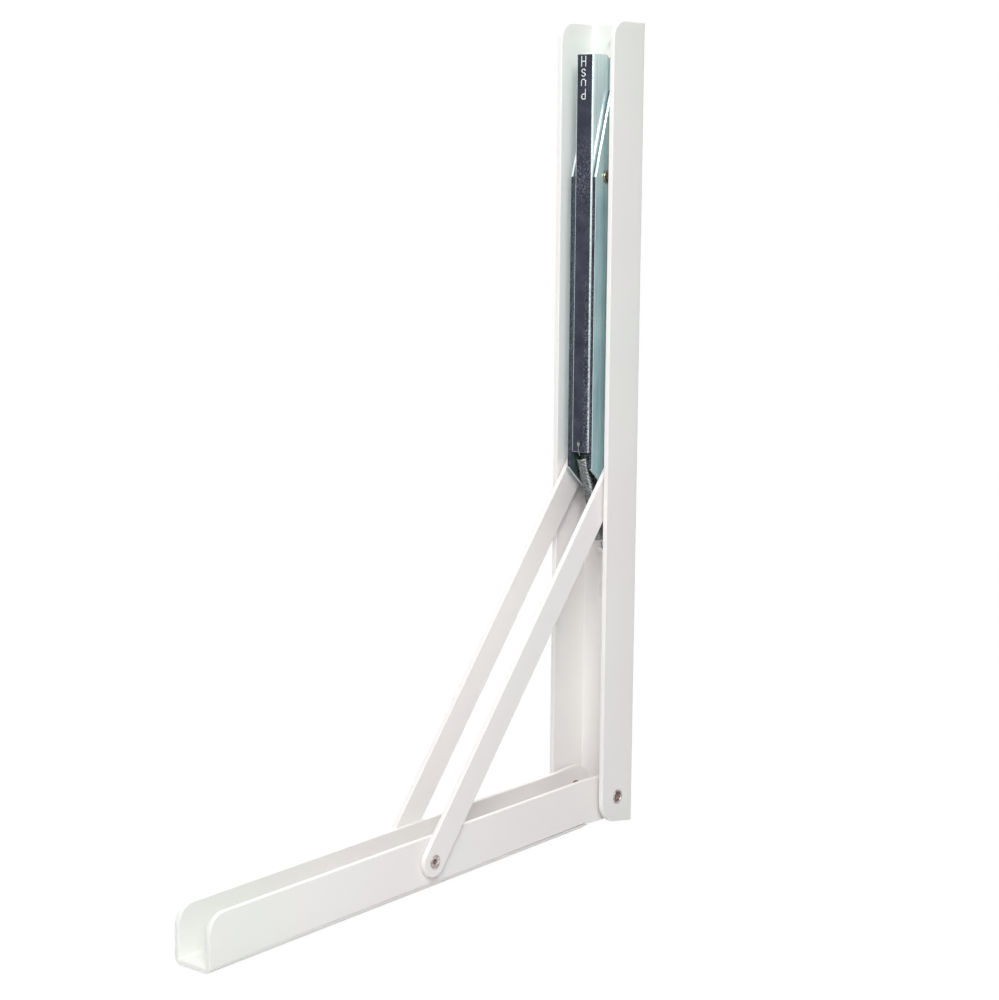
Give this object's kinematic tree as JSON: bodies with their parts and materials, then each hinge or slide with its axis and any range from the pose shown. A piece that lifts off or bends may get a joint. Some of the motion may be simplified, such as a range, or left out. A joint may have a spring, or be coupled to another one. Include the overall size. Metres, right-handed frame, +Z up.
{
  "type": "folding shelf bracket",
  "caption": "Folding bracket: a long channel rail, a shorter channel arm that folds up against it, two sliding braces and a spring-loaded push lever that frees them.",
  "frame": {"origin": "back of the long rail (x = 0), at its lower end (z = 0), on the bracket's middle plane (y = 0)", "axes": "+Z up along the long rail, -X along the short arm, away from the rail's back, Y across the bracket's width"},
  "size_m": [0.2955, 0.035, 0.404],
  "materials": {
    "powder_coat": "white powder coat over steel",
    "zinc": "blue passivated zinc plate",
    "dark_zinc": "bright zinc plate, smooth",
    "nickel": "nickel plated rivet steel",
    "yellow_zinc": "yellow zinc plate",
    "spring_steel": "drawn spring wire"
  },
  "bodies": {
    "rail": {"long_rail": "powder_coat", "guide_housing": "zinc", "housing_rivets": "zinc", "lever_pin": "yellow_zinc", "return_spring": "spring_steel", "pivot_rivet_front": "nickel", "pivot_rivet_rear": "nickel", "pivot_washer_front": "zinc", "pivot_washer_rear": "zinc"},
    "lever": {"release_lever": "dark_zinc"},
    "arm": {"short_arm": "powder_coat", "brace_rivet_front": "nickel", "brace_rivet_rear": "nickel"},
    "braces": {"brace_front": "powder_coat", "brace_rear": "powder_coat", "brace_pin_front": "zinc", "brace_pin_rear": "zinc"},
    "slider": {"cross_pin": "zinc", "slot_bush_front": "yellow_zinc", "slot_bush_rear": "yellow_zinc", "pin_clip_front": "spring_steel", "pin_clip_rear": "spring_steel"}
  },
  "joints": [
    {"name": "fold", "type": "hinge", "parent": "rail", "child": "arm", "pos_m": [-0.0144, 0, 0.015], "axis": [0, 1, 0], "range_deg": [0, 88]},
    {"name": "brace_swing", "type": "hinge", "parent": "arm", "child": "braces", "pos_m": [-0.15459, 0, 0.015], "axis": [0, 1, 0], "range_deg": [-125.51, 0]},
    {"name": "pin_slide", "type": "slide", "parent": "rail", "child": "slider", "axis": [0, 0, 1], "range_m": [0, 0.19197]},
    {"name": "push_lever", "type": "hinge", "parent": "rail", "child": "lever", "pos_m": [-0.0191, 0, 0.3295], "axis": [0, 1, 0], "range_deg": [0, 1.4], "stiffness_Nm_per_rad": 1.5, "springref_deg": -2.86, "deforming": ["return_spring"]}
  ],
  "couplings": [
    {"joint": "brace_swing", "follows": "fold", "ratio": -1.426},
    {"joint": "pin_slide", "follows": "fold", "m_per_rad": 0.12495}
  ]
}
